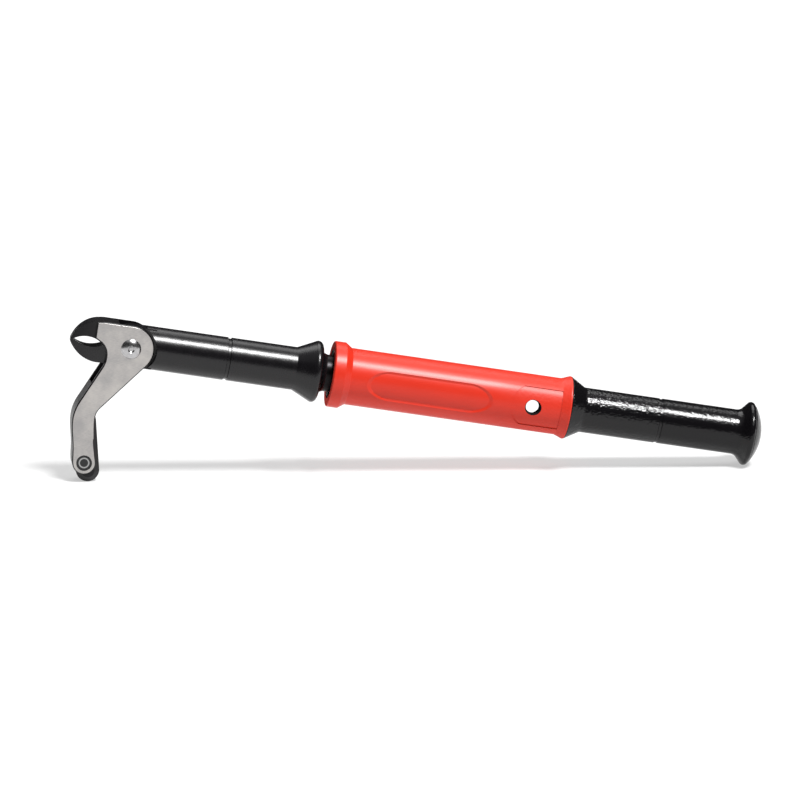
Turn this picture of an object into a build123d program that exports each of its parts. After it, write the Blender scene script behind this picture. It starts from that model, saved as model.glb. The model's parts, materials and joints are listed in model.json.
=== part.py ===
from build123d import *
import os
from math import asin, atan2, cos, degrees, hypot, radians, sin, sqrt, tan

# Slide-hammer nail puller, in millimetres. It stands on the toe of its foot lever and on the rim of its end knob.
# +X runs from the jaws towards the knob, +Y away from the side with the rivet's struck head, and +Z is up.
# Outlines are drawn in the tool's own side view: x along the tool from the jaw tip, z square to the tool axis.

os.makedirs("parts", exist_ok=True)

# Lengths along the tool
jaw_reach = 41.4          # jaw tip to pivot
front_grip_length = 67.0  # pivot to the seam in the lower grip
rear_grip_length = 64.2   # seam to the rear face of the hand guard
guard_to_ram = 7.6        # guard face to ram mouth while the ram is fully down
barrel_length = 165.9     # ram mouth to the red rim
upper_grip_length = 64.0  # red rim to the seam in the upper grip
end_knob_length = 72.5    # seam to the crown of the knob

# Radii about the tool axis
rod_radius = 12.7
rod_shank_radius = rod_radius - 2.7
grip_radius = rod_shank_radius + 4.8
guard_radius = rod_radius + 8.5
upper_grip_radius = 15.5
knob_radius = upper_grip_radius + 6.5

# Head and foot lever
pivot_drop = 1.0          # pivot below the tool axis
tongue_thickness = 14.0
lever_thickness = tongue_thickness + 7.0
boss_radius = 15.9
upper_jaw_width = tongue_thickness + 3.0
jaw_tip_width = 5.0
lever_bevel = 0.8
rivet_radius = 4.5
rivet_head_radius = rivet_radius + 2.4
rivet_dome_radius = rivet_head_radius - 1.9
rivet_head_height = 2.2
rivet_dimple_radius = 2.3
rivet_dimple_depth = 0.8
toe_radius = 8.0
sole_width = 12.0
toe_bevel = 3.5
ankle_radius = 8.0
badge_radius = 5.4
badge_depth = 0.6

# Ram
panel_length = 88.0
panel_height = 20.4
panel_depth = 1.1
panel_slope = 68.2        # draft of the panel's walls, in degrees
panel_root_depth = 3.15   # how far below the surface the draft starts
pad_half_height = 13.6
pad_depth = 0.5
hang_hole_radius = 4.6
hang_hole_lip_radius = hang_hole_radius + 1.15
hang_hole_lip_depth = 4.0
hang_hole_land = 3.0      # straight length of the hanging hole
hang_hole_back_radius = hang_hole_radius + 7.4
stop_length = 10.0
stop_radius = rod_radius + 1.7
stop_journal_radius = rod_radius - 3.7
bush_length = 9.0
bush_radius = rod_radius + 4.3
ring_thickness = 1.5
ring_groove_radius = bush_radius + 1.2
strike_plug_length = 9.7
barrel_wall = 4.85
spigot_length = 10.0
knob_dome_radius = knob_radius + 12.0
knob_rim_round = 2.5
knob_spigot_radius = upper_grip_radius - 6.0
knob_spigot_length = 22.0
pin_radius = 2.5

# Clearances
side_gap = 0.3            # moving faces that don't bear on each other
running_gap = 0.05        # radial play of a running fit
pin_sink = 0.3            # pin ends below the surface they enter
seam_width = 1.3          # half the width of the groove at a grip seam
seam_depth = 0.8

# Ram sizes built up from the stop collar it runs over
bore_radius = stop_radius + side_gap
barrel_radius = bore_radius + barrel_wall
mouth_radius = barrel_radius + 3.15
rim_radius = barrel_radius + 2.15
spigot_radius = barrel_radius - 4.55
spigot_pin_z = -knob_spigot_radius - 1.0
stop_pin_reach = stop_radius - 2 * pin_sink

# Stations along the tool
pivot_x = jaw_reach
pivot_z = -pivot_drop
seam_x = pivot_x + front_grip_length
head_pin_x = seam_x - 15.4
rod_front_x = seam_x - 30.0
guard_x = seam_x + rear_grip_length
rod_shoulder_x = guard_x + 3.6
mouth_x = guard_x + guard_to_ram
ring_x = mouth_x + 1.2
bush_x = ring_x + ring_thickness + side_gap
bush_seat_x = bush_x + bush_length + side_gap
rim_x = mouth_x + barrel_length
hang_x = rim_x - 26.1
panel_x = hang_x - 72.1
strike_seat_x = hang_x - hang_hole_back_radius - 2.0
strike_face_x = strike_seat_x - strike_plug_length
rod_end_x = strike_face_x - side_gap
stop_x = rod_end_x - stop_length
spigot_x = rim_x - spigot_length
upper_seam_x = rim_x + upper_grip_length
knob_spigot_x = upper_seam_x - knob_spigot_length
knob_pin_x = upper_seam_x - 8.0
crown_x = upper_seam_x + end_knob_length
knob_rim_x = crown_x - 9.4

# Shared head sizes
tongue_radius = boss_radius - 1.0
scoop_radius = boss_radius + 1.6
web_radius = boss_radius + 3.1
slot_floor_radius = 36.0
slot_width = tongue_thickness + 2 * side_gap
half_lever = lever_thickness / 2
half_tongue = tongue_thickness / 2
eye_left = 2.0
eye_right = pivot_x - web_radius
eye_middle = (eye_left + eye_right) / 2
tip_parting_z = -0.5
root_parting_z = -1.55
half_gap = side_gap / 2
jaw_top = pivot_z + boss_radius
jaw_bottom = -13.8
jaw_crest = (20.9, jaw_top)
half_jaw = upper_jaw_width / 2
toe = (pivot_x - 15.8, pivot_z - 88.0)


# The lever's outline, seen from the side and measured from the pivot
arm_slope = (-0.62, -0.785)
shin_slope = (0.416, 0.909)
foot_down = (0.264, -0.965)
ankle = (-19.3, -82.85)
arm_top = (-arm_slope[1] * boss_radius, arm_slope[0] * boss_radius)
calf_x = -14.55
calf_top = (calf_x, arm_top[1] + (calf_x - arm_top[0]) * arm_slope[1] / arm_slope[0])
calf_back = (calf_top[0] - 1.85, calf_top[1] - 3.92)
calf_foot = (calf_top[0] - 2.1, calf_top[1] - 8.32)
foot_back = (ankle[0] - foot_down[1] * ankle_radius, ankle[1] + foot_down[0] * ankle_radius)
foot_front = (ankle[0] + foot_down[1] * ankle_radius, ankle[1] - foot_down[0] * ankle_radius)
foot_end = (ankle[0] + foot_down[0] * ankle_radius, ankle[1] + foot_down[1] * ankle_radius)
with BuildSketch() as lever_outline:
    with BuildLine():
        Polyline((-25.3, boss_radius - 0.7), (-20.5, boss_radius), (0, boss_radius))
        ThreePointArc((0, boss_radius), (boss_radius, 0), arm_top)
        Line(arm_top, calf_top)
        Spline(
            calf_top, calf_back, calf_foot, (-15.0, -64.9), foot_back,
            tangents=(arm_slope, foot_down),
        )
        ThreePointArc(foot_back, foot_end, foot_front)
        Spline(
            foot_front, (-28.6, -74.0), (-31.4, -60.0), (-31.85, -50.6), (-29.4, -41.6),
            tangents=((-foot_down[0], -foot_down[1]), shin_slope),
        )
        Line((-29.4, -41.6), (-17.4, -15.4))
        Spline(
            (-17.4, -15.4), (-15.9, -8.8), (-17.0, -2.6), (-19.7, 0.9), (-25.2, 4.1),
            tangents=(shin_slope, (-0.87, 0.5)),
        )
        Line((-25.2, 4.1), (-25.3, boss_radius - 0.7))
    make_face()

# The floor touches the round toe of the foot and the rounded rim of the knob, which sets how the tool leans.
knob_rim_z = knob_rim_round - knob_radius
toe_to_rim = hypot(knob_rim_x - toe[0], knob_rim_z - toe[1])
lean = atan2(knob_rim_z - toe[1], knob_rim_x - toe[0]) - asin((knob_rim_round - toe_radius) / toe_to_rim)
floor_height = toe[1] * cos(lean) - toe[0] * sin(lean) - toe_radius
leaning_outline = lever_outline.sketch.rotate(Axis.Z, -degrees(lean))
left_end = leaning_outline.bounding_box().min.X + pivot_x * cos(lean) + pivot_z * sin(lean)
right_end = (crown_x - knob_dome_radius) * cos(lean) + knob_dome_radius

# Planes of the tool as it stands, with the foot of its bounding box at the origin
axis_dir = Vector(cos(lean), 0, -sin(lean))
up_dir = Vector(sin(lean), 0, cos(lean))
across_dir = Vector(0, 1, 0)
side = Plane(origin=(-(left_end + right_end) / 2, 0, -floor_height), x_dir=axis_dir, z_dir=-across_dir)
tool_axis = Axis(side.origin, axis_dir)


def at(x, z, y=0.0):
    """A point given along, above and across the tool, in the standing frame."""
    return side.from_local_coords((x, z, -y))


def across(x):
    """The plane square to the tool at a station, facing the knob."""
    return Plane(origin=at(x, 0), x_dir=across_dir, z_dir=axis_dir)


def above(z):
    """The plan view at a height above the tool axis, with x along the tool."""
    return Plane(origin=at(0, z), x_dir=axis_dir, z_dir=up_dir)


def lathe_section(corners):
    """The half section of a turned piece: each corner is x and radius, then a fillet size where it is rounded."""
    with BuildSketch(side) as section:
        with BuildLine():
            Polyline(*[corner[:2] for corner in corners], close=True)
        make_face()
        for corner in corners:
            if len(corner) == 3:
                fillet(section.vertices().sort_by_distance((corner[0], corner[1], 0))[0], corner[2])
    return section.sketch


def pin_section(x, z):
    """The round section of a lock pin whose inner end stops at height z."""
    with BuildSketch(above(z)) as section:
        with Locations((x, 0)):
            Circle(pin_radius)
    return section.sketch


pivot_side = Plane(origin=at(pivot_x, pivot_z), x_dir=axis_dir, z_dir=-across_dir)
pivot_plan = Plane(origin=at(pivot_x, pivot_z), x_dir=axis_dir, z_dir=up_dir)
pivot_axis = Axis(pivot_side.origin, across_dir)

# Fixed jaw: lower jaw, tongue, and the front half of the lower grip
with BuildPart() as fixed_jaw:
    with BuildSketch(side):
        with BuildLine():
            Line((0, tip_parting_z - half_gap), (eye_left, tip_parting_z - half_gap))
            ThreePointArc(
                (eye_left, tip_parting_z - half_gap),
                (eye_middle, -4.0),
                (eye_right, root_parting_z - half_gap),
            )
            Line((eye_right, root_parting_z - half_gap), (pivot_x, root_parting_z - half_gap))
            Line((pivot_x, root_parting_z - half_gap), (pivot_x, jaw_bottom))
            Line((pivot_x, jaw_bottom), (22.6, jaw_bottom))
            ThreePointArc((22.6, jaw_bottom), (7.4, -10.4), (0, -2.4))
            Line((0, -2.4), (0, tip_parting_z - half_gap))
        make_face()
    extrude(amount=half_tongue, both=True)
    with BuildSketch(above(0)):
        with BuildLine():
            Line((0, -jaw_tip_width / 2), (0, jaw_tip_width / 2))
            ThreePointArc((0, jaw_tip_width / 2), (9.0, half_tongue * 0.8), (22.0, half_tongue))
            Line((22.0, half_tongue), (pivot_x, half_tongue))
            Line((pivot_x, half_tongue), (pivot_x, -half_tongue))
            Line((pivot_x, -half_tongue), (22.0, -half_tongue))
            ThreePointArc((22.0, -half_tongue), (9.0, -half_tongue * 0.8), (0, -jaw_tip_width / 2))
        make_face()
    extrude(amount=2 * boss_radius, both=True, mode=Mode.INTERSECT)
    with BuildSketch(pivot_side):
        Circle(tongue_radius)
        with Locations((8, pivot_drop)):
            Rectangle(16, 2 * (grip_radius - 1))
    extrude(amount=half_tongue, both=True)
    grip_section = lathe_section([
        (pivot_x + 7.5, 0),
        (pivot_x + 7.5, grip_radius - 1.5),
        (pivot_x + 9.5, grip_radius),
        (seam_x - seam_width, grip_radius),
        (seam_x - seam_width + seam_depth / 2, grip_radius - seam_depth),
        (seam_x, grip_radius - seam_depth),
        (seam_x, 0),
    ])
    revolve(grip_section, axis=tool_axis)
    for hand in (1, -1):
        with BuildSketch(pivot_side.offset(hand * half_tongue)):
            Circle(scoop_radius)
        extrude(amount=hand * grip_radius, mode=Mode.SUBTRACT)
    with BuildSketch(across(seam_x)):
        Circle(rod_shank_radius)
    extrude(amount=rod_front_x - seam_x, mode=Mode.SUBTRACT)
    with BuildSketch(pivot_side):
        Circle(rivet_radius + running_gap)
    extrude(amount=grip_radius, both=True, mode=Mode.SUBTRACT)
    extrude(pin_section(head_pin_x, 6.0), amount=-2 * grip_radius, mode=Mode.SUBTRACT)
fixed_jaw.part.label = "fixed_jaw"
export_step(fixed_jaw.part, "parts/fixed_jaw.step")

# Guard grip: rear half of the lower grip, flared into the hand guard
with BuildPart() as guard_grip:
    with BuildSketch(side):
        with BuildLine():
            Polyline(
                (rod_shoulder_x, rod_shank_radius),
                (seam_x, rod_shank_radius),
                (seam_x, grip_radius - seam_depth),
                (seam_x + seam_width - seam_depth / 2, grip_radius - seam_depth),
                (seam_x + seam_width, grip_radius),
                (guard_x - 17.3, grip_radius),
                (guard_x - 5.1, guard_radius - 0.6),
            )
            ThreePointArc(
                (guard_x - 5.1, guard_radius - 0.6),
                (guard_x - 2.5, guard_radius - 0.1),
                (guard_x, guard_radius - 2.4),
            )
            Line((guard_x, guard_radius - 2.4), (guard_x, rod_radius + 3.6))
            ThreePointArc(
                (guard_x, rod_radius + 3.6),
                (guard_x + 1.1, rod_radius + 1.5),
                (rod_shoulder_x, rod_radius + 0.2),
            )
            Line((rod_shoulder_x, rod_radius + 0.2), (rod_shoulder_x, rod_shank_radius))
        make_face()
    revolve(axis=tool_axis)
guard_grip.part.label = "guard_grip"
export_step(guard_grip.part, "parts/guard_grip.step")

# Slide rod: shank in the grip, full diameter in the ram, reduced journal for the stop
with BuildPart() as slide_rod:
    rod_section = lathe_section([
        (rod_front_x, 0),
        (rod_front_x, rod_shank_radius),
        (rod_shoulder_x, rod_shank_radius),
        (rod_shoulder_x, rod_radius),
        (stop_x, rod_radius),
        (stop_x, stop_journal_radius),
        (rod_end_x, stop_journal_radius),
        (rod_end_x, 0),
    ])
    revolve(rod_section, axis=tool_axis)
    extrude(pin_section(head_pin_x, 6.0), amount=-2 * grip_radius, mode=Mode.SUBTRACT)
    extrude(pin_section(stop_x + stop_length / 2, grip_radius), amount=-2 * grip_radius, mode=Mode.SUBTRACT)
slide_rod.part.label = "slide_rod"
export_step(slide_rod.part, "parts/slide_rod.step")

# Pin locking the rod into the head, driven in from the underside
with BuildPart() as head_pin:
    extrude(pin_section(head_pin_x, 6.0), amount=-(grip_radius - pin_sink + 6.0))
head_pin.part.label = "head_pin"
export_step(head_pin.part, "parts/head_pin.step")

# Stop collar pinned to the rod's end; it halts the ram at the top of its stroke
with BuildPart() as stop_collar:
    with BuildSketch(across(stop_x)):
        Circle(stop_radius)
        Circle(stop_journal_radius, mode=Mode.SUBTRACT)
    extrude(amount=stop_length)
    extrude(pin_section(stop_x + stop_length / 2, grip_radius), amount=-2 * grip_radius, mode=Mode.SUBTRACT)
stop_collar.part.label = "stop_collar"
export_step(stop_collar.part, "parts/stop_collar.step")

# Pin through the stop collar and the rod
with BuildPart() as stop_pin:
    extrude(pin_section(stop_x + stop_length / 2, stop_pin_reach), amount=-2 * stop_pin_reach)
stop_pin.part.label = "stop_pin"
export_step(stop_pin.part, "parts/stop_pin.step")

# The shoe that thickens the foot, drawn from the side and placed from the pivot
with BuildSketch() as shoe_ends:
    with Locations((toe[0] - pivot_x, toe[1] - pivot_z)):
        Circle(toe_radius)
    with Locations((-22.9, -54.5)):
        Circle(toe_radius - 0.4)
with BuildSketch() as shoe_outline:
    make_hull(shoe_ends.sketch.edges())
with BuildPart() as shoe:
    with BuildSketch(pivot_side):
        add(shoe_outline.sketch)
    extrude(amount=sole_width / 2 + toe_bevel, both=True)
    sole_faces = shoe.faces().sort_by(Axis.Y)
    chamfer(sole_faces[0].edges() + sole_faces[-1].edges(), toe_bevel)

# Upper jaw, which grows out of the lever's cheeks
with BuildPart() as upper_jaw:
    with BuildSketch(side):
        with BuildLine():
            web_top = (pivot_x - 10.2, jaw_top)
            web_middle = (pivot_x - web_radius * 0.88, pivot_z + web_radius * 0.475)
            TangentArc(jaw_crest, (0, tip_parting_z + half_gap), tangent=(-1, 0))
            Line(jaw_crest, web_top)
            ThreePointArc(web_top, web_middle, (eye_right, root_parting_z + half_gap))
            ThreePointArc(
                (eye_right, root_parting_z + half_gap),
                (eye_middle, 3.15),
                (eye_left, tip_parting_z + half_gap),
            )
            Line((eye_left, tip_parting_z + half_gap), (0, tip_parting_z + half_gap))
        make_face()
    extrude(amount=half_jaw, both=True)
    with BuildSketch(above(0)):
        with BuildLine():
            Line((0, -jaw_tip_width / 2), (0, jaw_tip_width / 2))
            ThreePointArc((0, jaw_tip_width / 2), (7.0, half_jaw * 0.78), (17.0, half_jaw))
            Line((17.0, half_jaw), (pivot_x, half_jaw))
            Line((pivot_x, half_jaw), (pivot_x, -half_jaw))
            Line((pivot_x, -half_jaw), (17.0, -half_jaw))
            ThreePointArc((17.0, -half_jaw), (7.0, -half_jaw * 0.78), (0, -jaw_tip_width / 2))
        make_face()
    extrude(amount=2 * boss_radius, both=True, mode=Mode.INTERSECT)

# Jaw lever: two cheeks over the tongue, the upper jaw in front and the foot below, in one forging
with BuildPart() as jaw_lever:
    with BuildSketch(pivot_side):
        add(lever_outline.sketch)
    extrude(amount=half_lever, both=True)
    end_faces = jaw_lever.faces().sort_by(Axis.Y)
    chamfer(end_faces[0].edges() + end_faces[-1].edges(), lever_bevel)
    add(shoe.part)
    with BuildSketch(pivot_side):
        Circle(slot_floor_radius)
    extrude(amount=slot_width / 2, both=True, mode=Mode.SUBTRACT)
    with BuildSketch(pivot_side):
        Circle(rivet_radius)
    extrude(amount=lever_thickness, both=True, mode=Mode.SUBTRACT)
    for hand in (1, -1):
        with BuildSketch(pivot_side.offset(hand * half_lever)):
            with Locations(ankle):
                Circle(badge_radius)
        extrude(amount=-hand * badge_depth, mode=Mode.SUBTRACT)
    add(upper_jaw.part)
jaw_lever.part.label = "jaw_lever"
export_step(jaw_lever.part, "parts/jaw_lever.step")

# Pivot rivet, headed on both cheeks
with BuildPart() as pivot_rivet:
    head_top = half_lever + rivet_head_height
    head_shoulder = half_lever + rivet_head_height * 0.65
    with BuildSketch(pivot_plan):
        with BuildLine():
            dimple_floor = head_top - rivet_dimple_depth
            Polyline(
                (rivet_dimple_radius, head_top),
                (rivet_dimple_radius * 0.6, dimple_floor),
                (0, dimple_floor),
                (0, -dimple_floor),
                (rivet_dimple_radius * 0.6, -dimple_floor),
                (rivet_dimple_radius, -head_top),
            )
            ThreePointArc((rivet_dimple_radius, -head_top), (rivet_dome_radius, -head_shoulder), (rivet_head_radius, -half_lever))
            Polyline(
                (rivet_head_radius, -half_lever),
                (rivet_radius, -half_lever),
                (rivet_radius, half_lever),
                (rivet_head_radius, half_lever),
            )
            ThreePointArc((rivet_head_radius, half_lever), (rivet_dome_radius, head_shoulder), (rivet_dimple_radius, head_top))
        make_face()
    revolve(axis=pivot_axis)
pivot_rivet.part.label = "pivot_rivet"
export_step(pivot_rivet.part, "parts/pivot_rivet.step")

# Guide bush: floats between the retaining ring and its seat, and runs on the rod
with BuildPart() as guide_bush:
    with BuildSketch(across(bush_x)):
        Circle(bush_radius)
        Circle(rod_radius + running_gap, mode=Mode.SUBTRACT)
    extrude(amount=bush_length)
guide_bush.part.label = "guide_bush"
export_step(guide_bush.part, "parts/guide_bush.step")

# What is taken off the barrel for its two long panels, whose floors follow the round of the barrel
panel_root = barrel_radius - panel_root_depth
panel_spread = 2 * panel_root_depth * tan(radians(panel_slope))
with BuildPart() as panel_cutters:
    for hand in (1, -1):
        with BuildSketch(Plane(origin=at(panel_x, 0, -hand * panel_root), x_dir=axis_dir, z_dir=-hand * across_dir)):
            SlotOverall(panel_length - panel_spread, panel_height - 1.4)
        extrude(amount=panel_root_depth + 0.85, taper=-panel_slope)
    with BuildSketch(across(panel_x - panel_length)):
        Circle(barrel_radius - panel_depth)
    extrude(amount=2 * panel_length, mode=Mode.SUBTRACT)

# What is taken off the barrel for the shallow pads around the hanging hole
pad_start = hang_x - 7.4
pad_end = rim_x - 6.6
with BuildPart() as pad_cutters:
    with BuildSketch(side):
        with BuildLine():
            Line((pad_end, pad_half_height), (pad_start, pad_half_height))
            ThreePointArc((pad_start, pad_half_height), (hang_x - 15.5, 0), (pad_start, -pad_half_height))
            Line((pad_start, -pad_half_height), (pad_end, -pad_half_height))
            Line((pad_end, -pad_half_height), (pad_end, pad_half_height))
        make_face()
    extrude(amount=barrel_radius + 1, both=True)
    with BuildSketch(across(hang_x - 40)):
        Circle(barrel_radius - pad_depth)
    extrude(amount=80, mode=Mode.SUBTRACT)

# Ram barrel: sliding weight, blind bored from the mouth, with a solid web that carries the hanging hole
with BuildPart() as ram_barrel:
    barrel_section = lathe_section([
        (mouth_x, bush_radius + running_gap),
        (mouth_x, mouth_radius, 1.0),
        (mouth_x + 7.9, mouth_radius, 0.8),
        (mouth_x + 12.4, barrel_radius, 0.8),
        (rim_x - 6.6, barrel_radius, 2.0),
        (rim_x - 1.0, rim_radius, 0.6),
        (rim_x, rim_radius, 0.4),
        (rim_x, spigot_radius),
        (spigot_x, spigot_radius),
        (spigot_x, 0),
        (strike_seat_x, 0),
        (strike_seat_x, bore_radius),
        (bush_seat_x, bore_radius),
        (bush_seat_x, bush_radius + running_gap),
        (ring_x + ring_thickness, bush_radius + running_gap),
        (ring_x + ring_thickness, ring_groove_radius),
        (ring_x, ring_groove_radius),
        (ring_x, bush_radius + running_gap),
    ])
    revolve(barrel_section, axis=tool_axis)
    add(panel_cutters.part, mode=Mode.SUBTRACT)
    add(pad_cutters.part, mode=Mode.SUBTRACT)
    with BuildSketch(Plane(origin=at(hang_x, 0), x_dir=axis_dir, z_dir=up_dir)):
        with BuildLine():
            lip_end = hang_hole_lip_depth + pad_depth - barrel_radius
            Polyline(
                (0, -barrel_radius - 1),
                (hang_hole_lip_radius, -barrel_radius - 1),
                (hang_hole_lip_radius, pad_depth - barrel_radius),
                (hang_hole_radius, lip_end),
                (hang_hole_radius, lip_end + hang_hole_land),
                (hang_hole_back_radius, barrel_radius - 0.6),
                (hang_hole_back_radius, barrel_radius + 1),
                (0, barrel_radius + 1),
                close=True,
            )
        make_face()
    revolve(axis=Axis(at(hang_x, 0), across_dir), mode=Mode.SUBTRACT)
    extrude(pin_section(spigot_x + spigot_length / 2, spigot_pin_z), amount=-20, mode=Mode.SUBTRACT)
ram_barrel.part.label = "ram_barrel"
export_step(ram_barrel.part, "parts/ram_barrel.step")

# Retaining ring: spring ring in the groove at the mouth, open at the bottom
with BuildPart() as retaining_ring:
    with BuildSketch(across(ring_x)):
        Circle(ring_groove_radius)
        Circle(rod_radius + 2.6, mode=Mode.SUBTRACT)
        with Locations((0, -ring_groove_radius)):
            Rectangle(8.0, 12.0, mode=Mode.SUBTRACT)
    extrude(amount=ring_thickness)
retaining_ring.part.label = "retaining_ring"
export_step(retaining_ring.part, "parts/retaining_ring.step")

# Hardened plug at the bottom of the ram's bore
with BuildPart() as strike_plug:
    with BuildSketch(across(strike_face_x)):
        Circle(bore_radius)
    extrude(amount=strike_plug_length)
strike_plug.part.label = "strike_plug"
export_step(strike_plug.part, "parts/strike_plug.step")

# Upper grip: hollow handle with a spigot pinned into the back of the ram
with BuildPart() as upper_grip:
    upper_grip_section = lathe_section([
        (spigot_x, knob_spigot_radius),
        (spigot_x, spigot_radius),
        (rim_x, spigot_radius),
        (rim_x, rim_radius, 0.4),
        (rim_x + 10.4, upper_grip_radius, 4.0),
        (upper_seam_x - seam_width, upper_grip_radius),
        (upper_seam_x - seam_width + seam_depth / 2, upper_grip_radius - seam_depth * 0.6),
        (upper_seam_x, upper_grip_radius - seam_depth * 0.6),
        (upper_seam_x, knob_spigot_radius),
    ])
    revolve(upper_grip_section, axis=tool_axis)
    extrude(pin_section(spigot_x + spigot_length / 2, spigot_pin_z), amount=-20, mode=Mode.SUBTRACT)
    extrude(pin_section(knob_pin_x, 0), amount=-20, mode=Mode.SUBTRACT)
upper_grip.part.label = "upper_grip"
export_step(upper_grip.part, "parts/upper_grip.step")

# Pin locking the upper grip into the ram, driven in from the underside
with BuildPart() as grip_lock_pin:
    extrude(pin_section(spigot_x + spigot_length / 2, spigot_pin_z), amount=pin_sink - barrel_radius - spigot_pin_z)
grip_lock_pin.part.label = "grip_lock_pin"
export_step(grip_lock_pin.part, "parts/grip_lock_pin.step")

# End knob: rear half of the upper grip, flared to a rim and domed
with BuildPart() as end_knob:
    with BuildSketch(side):
        with BuildLine():
            rim_centre = knob_radius - knob_rim_round
            flare_end = (knob_rim_x - 0.707 * knob_rim_round, rim_centre + 0.707 * knob_rim_round)
            rim_crest = (knob_rim_x + 0.174 * knob_rim_round, rim_centre + 0.985 * knob_rim_round)
            rim_end = (knob_rim_x + 0.94 * knob_rim_round, rim_centre + 0.342 * knob_rim_round)
            dome_edge_radius = knob_radius - 2.15
            dome_x = crown_x - knob_dome_radius + sqrt(knob_dome_radius**2 - dome_edge_radius**2)
            dome_middle = knob_dome_radius * 0.3
            dome_middle_x = crown_x - knob_dome_radius + sqrt(knob_dome_radius**2 - dome_middle**2)
            Polyline(
                (crown_x, 0),
                (knob_spigot_x, 0),
                (knob_spigot_x, knob_spigot_radius),
                (upper_seam_x, knob_spigot_radius),
                (upper_seam_x, upper_grip_radius - seam_depth * 0.6),
                (upper_seam_x + seam_width - seam_depth / 2, upper_grip_radius - seam_depth * 0.6),
                (upper_seam_x + seam_width, upper_grip_radius),
                (knob_rim_x - 9.5, upper_grip_radius),
            )
            TangentArc(
                (knob_rim_x - 9.5, upper_grip_radius),
                (knob_rim_x - 5.0, upper_grip_radius + 2.2),
                tangent=(1, 0),
            )
            Line((knob_rim_x - 5.0, upper_grip_radius + 2.2), flare_end)
            ThreePointArc(flare_end, rim_crest, rim_end)
            Line(rim_end, (dome_x, dome_edge_radius))
            ThreePointArc((dome_x, dome_edge_radius), (dome_middle_x, dome_middle), (crown_x, 0))
        make_face()
    revolve(axis=tool_axis)
    extrude(pin_section(knob_pin_x, 0), amount=-20, mode=Mode.SUBTRACT)
end_knob.part.label = "end_knob"
export_step(end_knob.part, "parts/end_knob.step")

# Pin locking the end knob into the upper grip, driven in from the underside
with BuildPart() as knob_lock_pin:
    extrude(pin_section(knob_pin_x, 0), amount=pin_sink - upper_grip_radius)
knob_lock_pin.part.label = "knob_lock_pin"
export_step(knob_lock_pin.part, "parts/knob_lock_pin.step")
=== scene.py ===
import json
import math

import bmesh
import bpy
from mathutils import Matrix, Vector


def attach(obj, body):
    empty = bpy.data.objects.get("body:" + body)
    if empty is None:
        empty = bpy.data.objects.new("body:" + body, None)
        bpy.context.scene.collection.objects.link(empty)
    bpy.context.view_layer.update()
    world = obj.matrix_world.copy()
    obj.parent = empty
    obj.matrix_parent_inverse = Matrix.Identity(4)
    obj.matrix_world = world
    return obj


bl_info = {
    "name": "Slide-hammer nail puller",
    "version": (1, 0, 0),
    "blender": (4, 5, 0),
    "location": "View3D > Sidebar > Nail Puller",
    "description": "Paints and stages a slide-hammer nail puller over its assembled solids",
    "category": "Object",
}

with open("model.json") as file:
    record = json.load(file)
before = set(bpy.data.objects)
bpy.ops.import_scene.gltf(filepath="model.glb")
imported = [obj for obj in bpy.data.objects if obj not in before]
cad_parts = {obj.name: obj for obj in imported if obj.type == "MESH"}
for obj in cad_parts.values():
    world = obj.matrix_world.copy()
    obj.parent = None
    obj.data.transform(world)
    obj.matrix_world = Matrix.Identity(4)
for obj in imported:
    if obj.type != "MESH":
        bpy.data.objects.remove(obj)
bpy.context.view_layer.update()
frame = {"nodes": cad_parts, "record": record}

MM = 0.001


def joint_facts(name):
    """The record's entry for one joint."""
    for joint in frame["record"]["behaviour"]["joints"]:
        if joint["name"] == name:
            return joint
    raise ValueError(f"no joint named {name}")


# The tool's own directions, along it towards the knob and up square to it, and its two fixed points
ALONG = Vector(joint_facts("ram_slide")["axis"]).normalized()
UP = ALONG.cross(Vector((0, 1, 0))).normalized()
BUSH_CENTRE = Vector(joint_facts("ram_spin")["pos_m"])
PIVOT = Vector(joint_facts("jaw_hinge")["pos_m"])

# Places along the tool from the centre of the guide bush, then the middle of the foot discs
MOUTH = -7.5 * MM
PANEL = 60.2 * MM
HANG_HOLE = 132.3 * MM
BADGE = PIVOT + ALONG * (-19.3 * MM) + UP * (-82.85 * MM)


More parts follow.
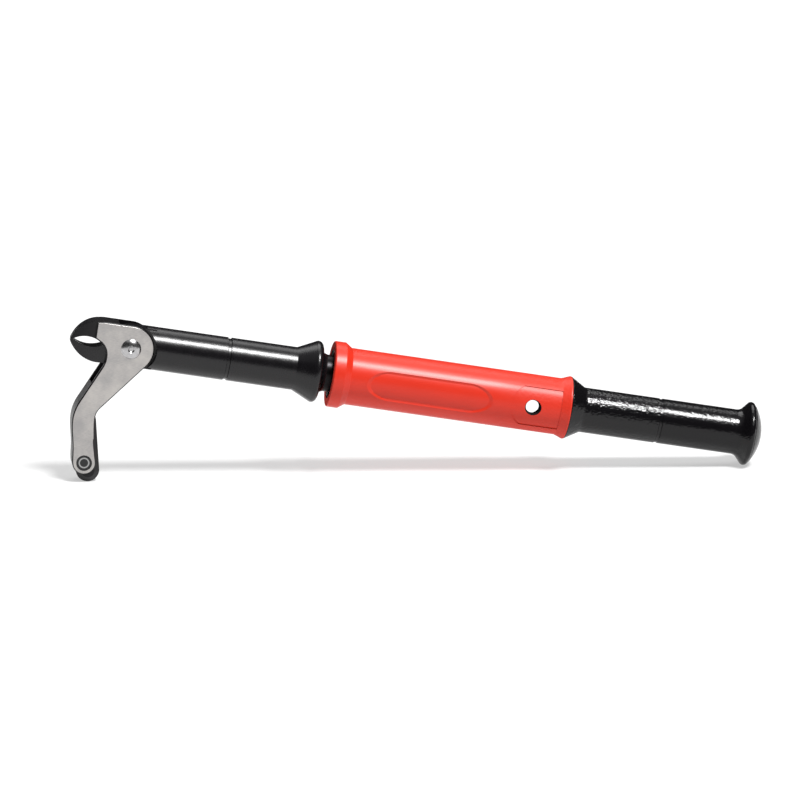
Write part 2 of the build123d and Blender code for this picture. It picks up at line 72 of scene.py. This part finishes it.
class Value:
    """A number, colour or vector on its way through a material, so that shader maths reads as plain sums."""

    def __init__(self, finish, socket):
        self.finish = finish
        self.socket = socket

    def _maths(self, operation, *values):
        return self.finish.node("ShaderNodeMath", {"operation": operation}, dict(enumerate(values)))

    def __add__(self, other):
        return self._maths("ADD", self, other)

    def __radd__(self, other):
        return self._maths("ADD", other, self)

    def __sub__(self, other):
        return self._maths("SUBTRACT", self, other)

    def __rsub__(self, other):
        return self._maths("SUBTRACT", other, self)

    def __mul__(self, other):
        return self._maths("MULTIPLY", self, other)

    def __rmul__(self, other):
        return self._maths("MULTIPLY", other, self)

    def __abs__(self):
        return self._maths("ABSOLUTE", self)

    def hypot(self, other):
        """The long side of a right-angled triangle whose short sides are this value and another."""
        return self._maths("SQRT", self * self + other * other)

    def rise(self, low, high):
        """0 below low, 1 above high, and a smooth ramp between them. With low above high it falls instead."""
        if low > high:
            return 1.0 - self.rise(high, low)
        return self.finish.node(
            "ShaderNodeMapRange",
            {"interpolation_type": "SMOOTHSTEP"},
            {"Value": self, "From Min": low, "From Max": high, "To Min": 0.0, "To Max": 1.0},
        )

    def span(self, low, high):
        """Stretches 0 to 1 onto low to high."""
        return self * (high - low) + low

    def about(self, middle, below, above):
        """Stretches 0 to 1 onto a setting, from a little below it to a little above it."""
        return self.span(middle - below, middle + above)

    def dot(self, vector):
        """The length of this vector along another, as a number."""
        return self.finish.node(
            "ShaderNodeVectorMath", {"operation": "DOT_PRODUCT"}, {0: self, 1: tuple(vector)}, output="Value"
        )

    def less(self, vector):
        """This vector with a fixed one taken from it."""
        return self.finish.node(
            "ShaderNodeVectorMath", {"operation": "SUBTRACT"}, {0: self, 1: tuple(vector)}
        )

    def stretched(self, vector):
        """This vector with each part multiplied."""
        return self.finish.node(
            "ShaderNodeVectorMath", {"operation": "MULTIPLY"}, {0: self, 1: tuple(vector)}
        )

    def mix(self, low, high):
        """The colour that is low where this value is 0 and high where it is 1."""
        return self.finish.node(
            "ShaderNodeMix",
            {"data_type": "RGBA"},
            {"Factor": self, "A": low, "B": high},
            output="Result",
        )


class Finish:
    """One procedural material and the tool coordinates that its patterns are laid out on."""

    def __init__(self, name):
        self.material = bpy.data.materials.new(name)
        self.material.use_nodes = True
        self.tree = self.material.node_tree
        self.shader = next(node for node in self.tree.nodes if node.type == "BSDF_PRINCIPLED")
        self.place = self.node("ShaderNodeTexCoord", output="Object")
        offset = self.place.less(BUSH_CENTRE)
        self.along = offset.dot(ALONG)
        self.up = offset.dot(UP)
        self.across = self.place.dot((0, 1, 0))
        self.radius = self.up.hypot(self.across)

    def node(self, kind, settings=None, inputs=None, output=0):
        """Adds any node: its settings first, then the values or links of its sockets. Returns one output."""
        node = self.tree.nodes.new(kind)
        for key, setting in (settings or {}).items():
            setattr(node, key, setting)
        for key, value in (inputs or {}).items():
            self._feed(self._socket(node.inputs, key), value)
        return Value(self, self._socket(node.outputs, output))

    @staticmethod
    def _socket(sockets, key):
        """A socket by number, or the enabled one of that name."""
        if isinstance(key, int):
            return sockets[key]
        return next(socket for socket in sockets if socket.name == key and socket.enabled)

    def _feed(self, socket, value):
        if isinstance(value, Value):
            self.tree.links.new(value.socket, socket)
        elif socket.type == "RGBA" and len(value) == 3:
            socket.default_value = (*value, 1.0)
        else:
            socket.default_value = value

    def noise(self, scale, detail=3.0, roughness=0.55, where=None):
        """Soft irregular variation from 0 to 1; scale is in features per metre."""
        return self.node(
            "ShaderNodeTexNoise",
            None,
            {"Vector": where or self.place, "Scale": scale, "Detail": detail, "Roughness": roughness},
        )

    def cells(self, scale, feature="F1", smoothness=None):
        """The distance to the nearest of many scattered points."""
        inputs = {"Vector": self.place, "Scale": scale}
        if smoothness is not None:
            inputs["Smoothness"] = smoothness
        return self.node("ShaderNodeTexVoronoi", {"feature": feature}, inputs, output="Distance")

    def bumps(self, *layers):
        """Stacks bumps, each a height from 0 to 1 and its real height in metres."""
        normal = None
        for height, size in layers:
            inputs = {"Height": height, "Distance": size, "Strength": 1.0}
            if normal is not None:
                inputs["Normal"] = normal
            normal = self.node("ShaderNodeBump", None, inputs, output="Normal")
        return normal

    def set(self, **sockets):
        """Sets or links the shader's own sockets."""
        for name, value in sockets.items():
            self._feed(self.shader.inputs[name.replace("_", " ")], value)
        return self


def hex_rgb(red, green, blue):
    """A screen colour, 0 to 255 each, as the linear colour the shader wants, by the sRGB curve."""
    parts = []
    for channel in (red, green, blue):
        share = channel / 255
        if share <= 0.04045:
            parts.append(share / 12.92)
        else:
            parts.append(((share + 0.055) / 1.055) ** 2.4)
    return tuple(parts)


def tinted(colour, share):
    """A colour times a share, darker below 1 and lighter above."""
    return tuple(min(1.0, channel * share) for channel in colour)


def dress(node, finish):
    """Puts a finish on a carried-over solid."""
    obj = frame["nodes"][node]
    obj.data.materials.clear()
    obj.data.materials.append(finish.material)


def new_piece(name, mesh_builder, finish):
    """A new object at the origin whose mesh the builder fills in place."""
    mesh = bpy.data.meshes.new(name)
    bm = bmesh.new()
    mesh_builder(bm)
    bmesh.ops.recalc_face_normals(bm, faces=bm.faces)
    bm.to_mesh(mesh)
    bm.free()
    obj = bpy.data.objects.new(name, mesh)
    bpy.context.scene.collection.objects.link(obj)
    mesh.materials.append(finish.material)
    return obj


class PaintSettings(bpy.types.PropertyGroup):
    ram_red: bpy.props.FloatVectorProperty(
        name="Ram red", description="Enamel on the sliding ram", subtype="COLOR", size=3, min=0, max=1,
        default=hex_rgb(206, 45, 25),
    )
    grip_black: bpy.props.FloatVectorProperty(
        name="Grip black", description="Enamel on the head, grips and knob", subtype="COLOR", size=3,
        min=0, max=1, default=hex_rgb(10, 9, 11),
    )
    ram_roughness: bpy.props.FloatProperty(
        name="Ram roughness", description="How dull the red enamel is", subtype="FACTOR", min=0, max=1,
        default=0.4,
    )
    satin_roughness: bpy.props.FloatProperty(
        name="Satin roughness", description="How dull the lower grip is", subtype="FACTOR", min=0, max=1,
        default=0.25,
    )
    gloss_roughness: bpy.props.FloatProperty(
        name="Gloss roughness", description="How dull the upper grip is", subtype="FACTOR", min=0, max=1,
        default=0.17,
    )


class SteelSettings(bpy.types.PropertyGroup):
    ground_colour: bpy.props.FloatVectorProperty(
        name="Ground steel", description="Ground flats of the lever", subtype="COLOR", size=3, min=0, max=1,
        default=hex_rgb(200, 196, 192),
    )
    grain_size: bpy.props.FloatProperty(
        name="Grinding line", description="Width of a grinding line", unit="LENGTH", min=0.00005, max=0.002,
        default=0.0003,
    )


class StageSettings(bpy.types.PropertyGroup):
    turn: bpy.props.FloatProperty(
        name="Turn", description="How far round to the jaws the camera stands", unit="ROTATION",
        subtype="ANGLE", default=math.radians(6.2),
    )
    height: bpy.props.FloatProperty(
        name="Height", description="Angle the camera looks down at", unit="ROTATION", subtype="ANGLE",
        default=math.radians(11.68),
    )
    distance: bpy.props.FloatProperty(
        name="Distance", description="Camera to the tool", unit="LENGTH", min=0.5, default=4.977,
    )
    lens: bpy.props.FloatProperty(name="Lens", description="Focal length in mm", min=10, default=326.6)
    aim: bpy.props.FloatVectorProperty(
        name="Aim", description="Point at the centre of the view", unit="LENGTH", subtype="TRANSLATION",
        size=3, default=(-0.01229, -0.00073, 0.05078),
    )
    lamp: bpy.props.FloatProperty(
        name="Lamp", description="Strength of the front lamp in watts a square metre", min=0, default=4.6,
    )
    lamp_height: bpy.props.FloatProperty(
        name="Lamp height", description="Angle of the lamp above the floor on the camera's side",
        unit="ROTATION", subtype="ANGLE", default=math.radians(65),
    )
    lamp_side: bpy.props.FloatProperty(
        name="Lamp side", description="Angle of the lamp towards the rear grip", unit="ROTATION",
        subtype="ANGLE", default=math.radians(16.6),
    )
    lamp_spread: bpy.props.FloatProperty(
        name="Lamp spread", description="Width of the lamp as the tool sees it", unit="ROTATION",
        subtype="ANGLE", default=math.radians(16),
    )
    top_lamp: bpy.props.FloatProperty(
        name="Top lamp", description="Strength of the wide lamp behind in watts a square metre", min=0,
        default=1.0,
    )
    top_lamp_height: bpy.props.FloatProperty(
        name="Top lamp height", description="Angle of the wide lamp, past 90 degrees when it stands behind",
        unit="ROTATION", subtype="ANGLE", default=math.radians(118),
    )
    top_lamp_spread: bpy.props.FloatProperty(
        name="Top lamp spread", description="Width of the wide lamp as the tool sees it", unit="ROTATION",
        subtype="ANGLE", default=math.radians(40),
    )
    ceiling: bpy.props.FloatProperty(
        name="Ceiling", description="Brightness of the white ceiling", min=0, default=0.3,
    )
    floor_glow: bpy.props.FloatProperty(
        name="Floor glow", description="Light the floor gives off from below", min=0, default=0.5,
    )
    walls: bpy.props.FloatProperty(
        name="Walls", description="Brightness of the walls as a share of the ceiling", min=0, max=1,
        default=0.1,
    )


class NAILPULLER_OT_satin_black(bpy.types.Operator):
    """Satin black enamel over the forged head, the lower grip and the hand guard"""

    bl_idname = "nail_puller.satin_black"
    bl_label = "Head and lower grip"

    grain_scale = 1500
    grain_height = 0.03 * MM
    mottle_scale = 160
    mottle_height = 0.1 * MM
    pale_share = 1.9

    def execute(self, context):
        paint = context.scene.nail_puller_paint
        black = tuple(paint.grip_black)
        for node in ("fixed_jaw", "guard_grip"):
            finish = Finish(f"satin_black_{node}")
            grain = finish.noise(self.grain_scale, detail=2.0)
            mottle = finish.noise(self.mottle_scale, detail=3.0)
            finish.set(
                Base_Color=mottle.mix(black, tinted(black, self.pale_share)),
                Roughness=(grain * 0.5 + mottle * 0.5).about(paint.satin_roughness, below=0.06, above=0.08),
                Normal=finish.bumps((grain, self.grain_height), (mottle, self.mottle_height)),
                Specular_IOR_Level=0.42,
            )
            dress(node, finish)
        return {"FINISHED"}


class NAILPULLER_OT_lever(bpy.types.Operator):
    """Ground steel flats on a black painted jaw lever, with the same black in its badge recess"""

    bl_idname = "nail_puller.lever"
    bl_label = "Jaw lever"

    flat_edge = (10.38 * MM, 10.46 * MM)
    line_stretch = (0.12, 1.0, 1.0)
    line_height = 0.015 * MM
    cloud_scale = 90
    broad_scale = 28
    shade_range = (0.36, 0.64)
    shadow_shares = (0.66, 0.67, 0.7)
    grain_scale = 1500
    grain_height = 0.04 * MM
    pale_share = 1.9

    def execute(self, context):
        paint = context.scene.nail_puller_paint
        steel = context.scene.nail_puller_steel
        finish = Finish("lever_steel_and_black")
        flat = abs(finish.across).rise(*self.flat_edge)
        stretched = finish.place.stretched(self.line_stretch)
        lines = finish.noise(1 / steel.grain_size, detail=2.0, where=stretched)
        cloud = finish.noise(self.cloud_scale, detail=4.0)
        grain = finish.noise(self.grain_scale, detail=2.0)
        broad = finish.noise(self.broad_scale, detail=3.0, roughness=0.6)

        ground = tuple(steel.ground_colour)
        shadow = tuple(channel * share for channel, share in zip(ground, self.shadow_shares))
        shade = (lines * 0.3 + cloud * 0.35 + broad * 0.35).rise(*self.shade_range)
        steel_colour = shade.mix(shadow, ground)
        steel_roughness = (lines * 0.5 + cloud * 0.5).span(0.26, 0.5)

        black = tuple(paint.grip_black)
        black_colour = cloud.mix(black, tinted(black, self.pale_share))
        black_roughness = grain.span(0.3, 0.45)
        finish.set(
            Base_Color=flat.mix(black_colour, steel_colour),
            Metallic=flat,
            Roughness=flat * steel_roughness + (1 - flat) * black_roughness,
            Normal=finish.bumps((lines * flat, self.line_height), (grain * (1 - flat), self.grain_height)),
            Specular_IOR_Level=0.3,
        )
        dress("jaw_lever", finish)
        return {"FINISHED"}


class NAILPULLER_OT_rivet(bpy.types.Operator):
    """Bright struck steel on the pivot rivet"""

    bl_idname = "nail_puller.rivet"
    bl_label = "Pivot rivet"

    cloud_scale = 400
    hammer_scale = 500
    hammer_height = 0.08 * MM
    dark_steel = hex_rgb(150, 149, 150)
    light_steel = hex_rgb(205, 204, 205)

    def execute(self, context):
        finish = Finish("rivet_steel")
        cloud = finish.noise(self.cloud_scale, detail=3.0)
        hammer = finish.cells(self.hammer_scale, feature="SMOOTH_F1", smoothness=1.0)
        finish.set(
            Base_Color=cloud.mix(self.dark_steel, self.light_steel),
            Metallic=1.0,
            Roughness=cloud.span(0.16, 0.34),
            Normal=finish.bumps((hammer, self.hammer_height)),
        )
        dress("pivot_rivet", finish)
        return {"FINISHED"}


class NAILPULLER_OT_ram(bpy.types.Operator):
    """Orange-red enamel on the ram, bare steel in its bore and near-black painted shade in the hanging hole
    """

    bl_idname = "nail_puller.ram"
    bl_label = "Ram"

    peel_scale = 330
    peel_height = 0.06 * MM
    dent_scale = 420
    dent_height = 0.2 * MM
    fine_scale = 1400
    fine_height = 0.02 * MM
    cloud_scale = 40

    # Where each zone of the ram starts and where it is complete, along it or out from its middle
    dented_end = (PANEL + 40 * MM, HANG_HOLE - 6 * MM)
    mouth_inside = (MOUTH + 0.25 * MM, MOUTH + 0.45 * MM)
    mouth_face = (MOUTH + 0.3 * MM, MOUTH + 0.1 * MM)
    bore_wall = (18.35 * MM, 18.25 * MM)
    hole_flare = (12.3 * MM, 12.1 * MM)
    below_skin = (18.95 * MM, 18.75 * MM)

    deep_share = 0.93
    pale_share = 1.05
    dark_steel = hex_rgb(120, 116, 112)
    light_steel = hex_rgb(165, 160, 154)
    # Near-black painted shade for the inside of the hanging hole, where its wall falls in shade
    hole_painted_shade = hex_rgb(12, 10, 10)

    def execute(self, context):
        paint = context.scene.nail_puller_paint
        finish = Finish("ram_red_enamel")
        peel = finish.noise(self.peel_scale, detail=1.5)
        fine = finish.noise(self.fine_scale, detail=2.0)
        dents = finish.noise(self.dent_scale, detail=2.0)
        cloud = finish.noise(self.cloud_scale, detail=3.0)

        dented = finish.along.rise(*self.dented_end)
        from_hole = (finish.along - HANG_HOLE).hypot(finish.up)
        in_hole = from_hole.rise(*self.hole_flare) * finish.radius.rise(*self.below_skin)
        bore = finish.along.rise(*self.mouth_inside) * finish.radius.rise(*self.bore_wall)
        bare = bore * (1 - in_hole)
        end_face = finish.along.rise(*self.mouth_face)

        red = tuple(paint.ram_red)
        enamel = cloud.mix(tinted(red, self.deep_share), tinted(red, self.pale_share))
        coloured = bare.mix(enamel, fine.mix(self.dark_steel, self.light_steel))
        enamel_roughness = dented.about(paint.ram_roughness, below=0.0, above=0.1) + (fine - 0.5) * 0.06
        finish.set(
            # The hanging hole's wall takes the near-black painted shade
            Base_Color=in_hole.mix(coloured, self.hole_painted_shade),
            Metallic=bare * 0.9,
            Roughness=enamel_roughness + bare * 0.2 + (end_face + in_hole) * 0.6,
            Normal=finish.bumps(
                (peel, self.peel_height), (dents * dented, self.dent_height), (fine, self.fine_height)
            ),
            Coat_Weight=(1 - bare) * (1 - end_face) * (1 - in_hole) * 0.12,
            Coat_Roughness=0.25,
            Specular_IOR_Level=0.3,
        )
        dress("ram_barrel", finish)
        return {"FINISHED"}


class NAILPULLER_OT_upper_grip(bpy.types.Operator):
    """Gloss black enamel over the hammered upper grip and the smoother end knob"""

    bl_idname = "nail_puller.upper_grip"
    bl_label = "Upper grip and knob"

    # For each piece, the height of its hammered dents and how strongly it shines
    pieces = {
        "upper_grip": (0.36 * MM, 0.35),
        "end_knob": (0.2 * MM, 0.3),
    }
    dent_scale = 560
    grain_scale = 1300
    grain_height = 0.01 * MM
    pale_share = 1.4

    def execute(self, context):
        paint = context.scene.nail_puller_paint
        black = tuple(paint.grip_black)
        for node, (dent_height, shine) in self.pieces.items():
            finish = Finish(f"gloss_black_{node}")
            dents = finish.noise(self.dent_scale, detail=1.5, roughness=0.5)
            grain = finish.noise(self.grain_scale, detail=2.0)
            finish.set(
                Base_Color=grain.mix(black, tinted(black, self.pale_share)),
                Roughness=grain.about(paint.gloss_roughness, below=0.04, above=0.06),
                Normal=finish.bumps((dents, dent_height), (grain, self.grain_height)),
                Specular_IOR_Level=shine,
            )
            dress(node, finish)
        return {"FINISHED"}


class NAILPULLER_OT_inner_steel(bpy.types.Operator):
    """Blackened rod and spring ring; turned steel on the stop, strike plug and lock pins"""

    bl_idname = "nail_puller.inner_steel"
    bl_label = "Rod and inner steel"

    # For each piece, its darkest and lightest screen colours and its roughness
    tints = {
        "slide_rod": ((22, 21, 22), (40, 39, 40), 0.3),
        "stop_collar": ((120, 118, 116), (150, 148, 146), 0.38),
        "strike_plug": ((96, 98, 104), (130, 130, 134), 0.34),
        "retaining_ring": ((24, 24, 26), (44, 44, 46), 0.34),
        "head_pin": ((110, 108, 106), (150, 148, 146), 0.4),
        "stop_pin": ((140, 138, 136), (170, 168, 166), 0.3),
        "grip_lock_pin": ((110, 108, 106), (150, 148, 146), 0.4),
        "knob_lock_pin": ((110, 108, 106), (150, 148, 146), 0.4),
    }
    lathe_scale = 900.0
    lathe_height = 0.004 * MM
    cloud_scale = 220
    cloud_height = 0.01 * MM

    def execute(self, context):
        for node, (dark, light, roughness) in self.tints.items():
            finish = Finish(f"turned_steel_{node}")
            lathe = finish.node(
                "ShaderNodeTexWave",
                {"wave_type": "BANDS", "bands_direction": "X", "wave_profile": "SAW"},
                {"Vector": finish.place, "Scale": self.lathe_scale, "Distortion": 1.5, "Detail": 2.0},
                output="Fac",
            )
            cloud = finish.noise(self.cloud_scale, detail=4.0)
            finish.set(
                Base_Color=(lathe * 0.3 + cloud * 0.7).mix(hex_rgb(*dark), hex_rgb(*light)),
                Metallic=1.0,
                Roughness=(lathe * 0.4 + cloud * 0.6).about(roughness, below=0.08, above=0.12),
                Normal=finish.bumps((lathe, self.lathe_height), (cloud, self.cloud_height)),
            )
            dress(node, finish)
        return {"FINISHED"}


class NAILPULLER_OT_bush(bpy.types.Operator):
    """Turned bearing bronze on the guide bush"""

    bl_idname = "nail_puller.bush"
    bl_label = "Guide bush"

    cloud_scale = 260
    pore_scale = 1600
    pore_height = 0.02 * MM
    dark_bronze = hex_rgb(96, 68, 36)
    light_bronze = hex_rgb(150, 112, 62)

    def execute(self, context):
        finish = Finish("bearing_bronze")
        cloud = finish.noise(self.cloud_scale, detail=4.0)
        pores = finish.cells(self.pore_scale)
        finish.set(
            Base_Color=cloud.mix(self.dark_bronze, self.light_bronze),
            Metallic=1.0,
            Roughness=cloud.span(0.28, 0.46),
            Normal=finish.bumps((pores, self.pore_height)),
        )
        dress("guide_bush", finish)
        return {"FINISHED"}


class NAILPULLER_OT_badges(bpy.types.Operator):
    """A plain ringed disc let into each side of the foot"""

    bl_idname = "nail_puller.badges"
    bl_label = "Foot discs"

    disc_radius = 5.25 * MM
    rim_width = 0.7 * MM
    crown = 0.3 * MM
    seat = 9.92 * MM
    segments = 64

    # Where the grey ring on the disc starts and ends, out from the middle
    ring_inside = (2.75 * MM, 2.85 * MM)
    ring_outside = (3.75 * MM, 3.65 * MM)
    ring_grey = hex_rgb(150, 150, 150)
    dark_black = hex_rgb(12, 12, 14)
    pale_black = hex_rgb(32, 32, 34)
    grain_scale = 1800
    grain_height = 0.05 * MM

    def execute(self, context):
        for name, hand in (("foot_disc_near", -1), ("foot_disc_far", 1)):
            disc = new_piece(name, lambda bm: self.build(bm, hand), self.disc_finish(name))
            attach(disc, "lever")
        return {"FINISHED"}

    def disc_finish(self, name):
        """Black paint with a plain grey ring."""
        finish = Finish(f"{name}_black")
        grain = finish.noise(self.grain_scale, detail=2.0)
        from_badge = finish.place.less(BADGE)
        from_middle = from_badge.dot(ALONG).hypot(from_badge.dot(UP))
        ring = from_middle.rise(*self.ring_inside) * from_middle.rise(*self.ring_outside)
        black = grain.mix(self.dark_black, self.pale_black)
        return finish.set(
            Base_Color=ring.mix(black, self.ring_grey),
            Roughness=grain.span(0.3, 0.5),
            Normal=finish.bumps((grain, self.grain_height)),
        )

    def build(self, bm, hand):
        """A disc with a raised middle, seated in the foot on the near side, -1, or the far side, 1."""
        bmesh.ops.create_circle(bm, cap_ends=True, segments=self.segments, radius=self.disc_radius)
        rim = bmesh.ops.inset_region(bm, faces=bm.faces[:], thickness=self.rim_width)
        raised = bmesh.ops.extrude_face_region(bm, geom=rim["faces"])
        verts = [item for item in raised["geom"] if isinstance(item, bmesh.types.BMVert)]
        bmesh.ops.translate(bm, verts=verts, vec=(0, 0, self.crown))
        into_place = Matrix((
            (ALONG.x, UP.x * -hand, 0, BADGE.x),
            (0, 0, hand, hand * self.seat),
            (ALONG.z, UP.z * -hand, 0, BADGE.z),
            (0, 0, 0, 1),
        ))
        bmesh.ops.transform(bm, matrix=into_place, verts=bm.verts)


class NAILPULLER_OT_stage(bpy.types.Operator):
    """White floor, surround, two lamps and the camera"""

    bl_idname = "nail_puller.stage"
    bl_label = "Stage"

    floor_half = 12.0
    floor_squares = 8
    floor_cloud_scale = 3
    floor_dark = (0.4, 0.4, 0.4)
    floor_light = (0.41, 0.41, 0.41)
    ceiling_starts = math.radians(38)
    ceiling_full = math.radians(62)
    lamp_distance = 3.0
    sensor_width = 36
    farthest_seen = 50

    def execute(self, context):
        stage = context.scene.nail_puller_stage
        self.floor(stage)
        self.surround(context, stage)
        self.lamp(context, "front_lamp", stage.lamp, stage.lamp_height, stage.lamp_spread, stage.lamp_side)
        self.lamp(context, "top_lamp", stage.top_lamp, stage.top_lamp_height, stage.top_lamp_spread)
        self.camera(context, stage)
        context.scene.view_settings.view_transform = "Standard"
        return {"FINISHED"}

    def floor(self, stage):
        """A wide white floor that gives off a little light."""
        finish = Finish("studio_floor")
        cloud = finish.noise(self.floor_cloud_scale, detail=2.0)
        finish.set(
            Base_Color=cloud.mix(self.floor_dark, self.floor_light),
            Roughness=0.7,
            Emission_Color=(1.0, 1.0, 1.0),
            Emission_Strength=stage.floor_glow,
            Specular_IOR_Level=0.1,
        )

        def build(bm):
            bmesh.ops.create_grid(
                bm, x_segments=self.floor_squares, y_segments=self.floor_squares, size=self.floor_half
            )

        floor = new_piece("studio_floor", build, finish)

    def camera(self, context, stage):
        """The camera, which looks at the middle of the tool from the front."""
        back = Vector((
            -math.sin(stage.turn) * math.cos(stage.height),
            -math.cos(stage.turn) * math.cos(stage.height),
            math.sin(stage.height),
        ))
        camera = bpy.data.objects.new("camera", bpy.data.cameras.new("camera"))
        camera.data.lens = stage.lens
        camera.data.sensor_width = self.sensor_width
        camera.data.clip_end = self.farthest_seen
        camera.location = Vector(stage.aim) + back * stage.distance
        camera.rotation_euler = back.to_track_quat("Z", "Y").to_euler()
        context.scene.collection.objects.link(camera)
        context.scene.camera = camera

    def surround(self, context, stage):
        """A pale ceiling over darker walls, as in a shooting tent."""
        world = bpy.data.worlds.new("studio_surround")
        world.use_nodes = True
        tree = world.node_tree
        direction = tree.nodes.new("ShaderNodeTexCoord")
        split = tree.nodes.new("ShaderNodeSeparateXYZ")
        ramp = tree.nodes.new("ShaderNodeValToRGB")
        ramp.color_ramp.interpolation = "EASE"
        walls, ceiling = ramp.color_ramp.elements
        walls.position = math.sin(self.ceiling_starts)
        walls.color = (stage.walls, stage.walls, stage.walls, 1)
        ceiling.position = math.sin(self.ceiling_full)
        ceiling.color = (1, 1, 1, 1)
        tree.links.new(direction.outputs["Generated"], split.inputs[0])
        tree.links.new(split.outputs["Z"], ramp.inputs[0])
        background = tree.nodes["Background"]
        tree.links.new(ramp.outputs[0], background.inputs["Color"])
        background.inputs["Strength"].default_value = stage.ceiling
        context.scene.world = world

    def lamp(self, context, name, strength, height, spread, side=0.0):
        """One far lamp, so wide that its shadows are soft."""
        light = bpy.data.lights.new(name, "SUN")
        light.energy = strength
        light.angle = spread
        lamp = bpy.data.objects.new(name, light)
        away = Vector((
            math.sin(side),
            -math.cos(height) * math.cos(side),
            math.sin(height) * math.cos(side),
        ))
        lamp.location = away * self.lamp_distance
        lamp.rotation_euler = away.to_track_quat("Z", "Y").to_euler()
        context.scene.collection.objects.link(lamp)


class NAILPULLER_PT_panel(bpy.types.Panel):
    bl_idname = "NAILPULLER_PT_panel"
    bl_label = "Nail Puller"
    bl_space_type = "VIEW_3D"
    bl_region_type = "UI"
    bl_category = "Nail Puller"

    def draw(self, context):
        for group in (
            context.scene.nail_puller_paint,
            context.scene.nail_puller_steel,
            context.scene.nail_puller_stage,
        ):
            box = self.layout.box()
            for name in group.__annotations__:
                box.prop(group, name)
        for operator in STEPS:
            self.layout.operator(operator.bl_idname)


GROUPS = {
    "nail_puller_paint": PaintSettings,
    "nail_puller_steel": SteelSettings,
    "nail_puller_stage": StageSettings,
}
STEPS = (
    NAILPULLER_OT_satin_black,
    NAILPULLER_OT_lever,
    NAILPULLER_OT_rivet,
    NAILPULLER_OT_ram,
    NAILPULLER_OT_upper_grip,
    NAILPULLER_OT_inner_steel,
    NAILPULLER_OT_bush,
    NAILPULLER_OT_badges,
    NAILPULLER_OT_stage,
)


def register():
    for cls in (*GROUPS.values(), *STEPS, NAILPULLER_PT_panel):
        bpy.utils.register_class(cls)
    for name, group in GROUPS.items():
        setattr(bpy.types.Scene, name, bpy.props.PointerProperty(type=group))


def unregister():
    for name in GROUPS:
        delattr(bpy.types.Scene, name)
    for cls in reversed((*GROUPS.values(), *STEPS, NAILPULLER_PT_panel)):
        bpy.utils.unregister_class(cls)


def main():
    """Registers the classes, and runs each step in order."""
    register()
    for step in STEPS:
        family, action = step.bl_idname.split(".")
        getattr(getattr(bpy.ops, family), action)()


if __name__ == "__main__":
    main()
